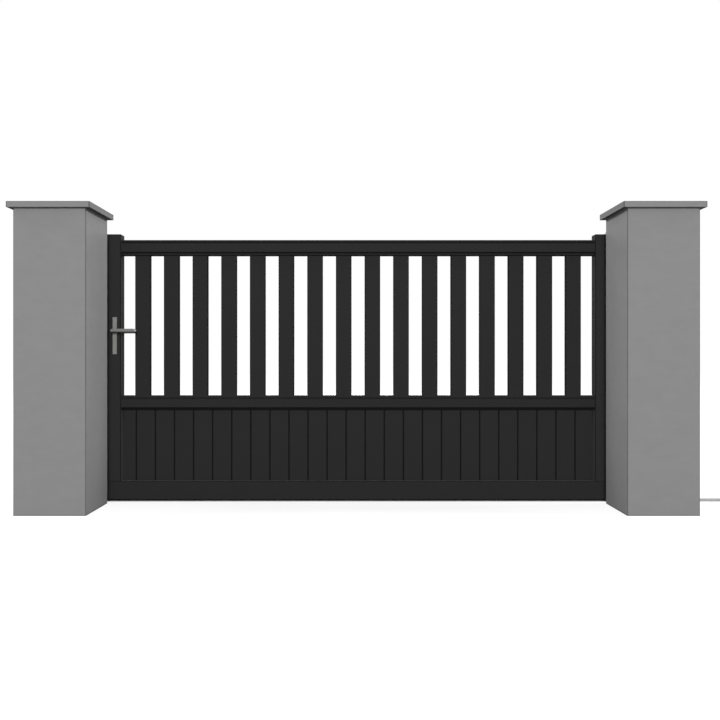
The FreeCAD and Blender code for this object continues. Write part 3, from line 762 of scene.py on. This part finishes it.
# Painted shade on the faces that turn down, painted highlight on the faces that turn towards +X.
lever_painted_under_shade = (0.0 - lever_bar.axis(2, "Normal")).ramp(0.35, 0.75)
painted_end_highlight = lever_bar.axis(0, "Normal").ramp(0.55, 0.85)
worn = lever_bar.between(brushing, (0.15, 0.15, 0.146), (0.2, 0.2, 0.195))
dress(
    lever_bar.coat(
        lever_bar.between(lever_painted_under_shade, lever_bar.between(painted_end_highlight, worn, end_highlight_tone), under_shade_tone),
        0.42 + 0.1 * brushing,
        normal=lever_bar.relief(brushing, 0.00003, 0.4),
        specular=satin_gloss,
    ),
    "lever_front", "lever_back",
)
plate_screw = ((0.0042, -0.0006, 0), (0.0042, 0.0003, 0), (0.0019, 0.0003, 1), (0.0018, -0.0004, 1))
plate_screw_first = (0.202, 0.297, 0.79)
plate_screw_step = (0.0, 0.0, 0.168)
set_out("back_plate_screws", turned_shape("back_plate_screw", plate_screw), "leaf", plated,
        plate_screw_first, plate_screw_step, 2, turn=turned_back, seed=29)

# Ground and light: a plain white floor that keeps the shadow of the gate, a soft white room, and four large
# lamps: one in front, one behind, and one high up and far out at each side.
gate_middle = 1.475
floor_half = 40
floor_bounce = 0.2
paper_grey = 0.35
floor_middle = 2.6
glow_reach = (10.0, 80.0)
near_glow = 0.77
far_glow = 0.86
room_level = 0.4
lamps = (
    ("front_lamp", (1.6, -12.5, 3.6), (gate_middle, 0.0, 0.7), 4.0, 1130.0),
    ("right_lamp", (21.0, -0.3, 13.0), (gate_middle, 0.0, 0.7), 6.0, 3500.0),
    ("left_lamp", (-18.0, -0.3, 13.0), (gate_middle, 0.0, 0.7), 6.0, 2940.0),
    ("back_lamp", (1.6, 12.5, 3.6), (1.8, 0.2, 0.7), 4.0, 900.0),
)


def seen_directly(setting):
    """1 where the eye, a mirror or glass looks at a surface, 0 where it only lights the gate."""
    path = setting.add("ShaderNodeLightPath")
    looks = [Level(setting, path.outputs[name])
             for name in ("Is Camera Ray", "Is Glossy Ray", "Is Transmission Ray")]
    return (looks[0] + looks[1] + looks[2]).clipped()


floor = new_finish("white_floor")
bounce = floor.add("ShaderNodeBsdfDiffuse", None, {0: (floor_bounce, floor_bounce, floor_bounce, 1.0)})
paper = floor.add("ShaderNodeBsdfDiffuse", None, {0: (paper_grey, paper_grey, paper_grey, 1.0)})
reach_x = floor.axis(0) - floor_middle
reach_y = floor.axis(1)
distance_squared = reach_x * reach_x + reach_y * reach_y
glow_tone = floor.between(distance_squared.ramp(*glow_reach), near_glow, far_glow)
glow = floor.add("ShaderNodeEmission", None, {0: glow_tone, 1: 1.0})
white = floor.add("ShaderNodeAddShader", None, {0: paper.outputs[0], 1: glow.outputs[0]})
chosen = floor.add(
    "ShaderNodeMixShader", None, {0: seen_directly(floor), 1: bounce.outputs[0], 2: white.outputs[0]}
)
floor.add("ShaderNodeOutputMaterial", None, {0: chosen.outputs[0]})
mesh = bpy.data.meshes.new("floor")
corners = ((-1, -1), (1, -1), (1, 1), (-1, 1))
mesh.from_pydata([(floor_half * x, floor_half * y, 0) for x, y in corners], [], [(0, 1, 2, 3)])
mesh.materials.append(floor.owner)
ground = bpy.data.objects.new("floor", mesh)
bpy.context.scene.collection.objects.link(ground)

world = bpy.data.worlds.new("soft_room")
bpy.context.scene.world = world
room = Finish(world)
soft = room.add("ShaderNodeBackground", None, {0: (1.0, 1.0, 1.0, 1.0), 1: room_level})
plain = room.add("ShaderNodeBackground", None, {0: (1.0, 1.0, 1.0, 1.0), 1: 1.0})
either = room.add("ShaderNodeMixShader", None,
                  {0: seen_directly(room), 1: soft.outputs[0], 2: plain.outputs[0]})
room.add("ShaderNodeOutputWorld", None, {0: either.outputs[0]})

for name, place, target, size, power in lamps:
    light = bpy.data.lights.new(name, "AREA")
    light.shape = "DISK"
    light.size = size
    light.energy = power
    lamp = bpy.data.objects.new(name, light)
    lamp.location = place
    lamp.rotation_euler = (Vector(target) - Vector(place)).to_track_quat("-Z", "Y").to_euler()
    bpy.context.scene.collection.objects.link(lamp)

# Camera: level and square on to the gate, about half as high as its caps, with the small shift that the
# picture's framing has.
eye = bpy.data.cameras.new("eye")
eye.lens = 42.175
eye.sensor_width = 36.0
eye.shift_x = 0.0047
eye.shift_y = -0.0043
camera = bpy.data.objects.new("eye", eye)
camera.location = (gate_middle, -4.225, 0.7636)
camera.rotation_euler = (math.pi / 2, 0.0, 0.0)
bpy.context.scene.collection.objects.link(camera)
bpy.context.scene.camera = camera
bpy.context.scene.view_settings.view_transform = "Standard"
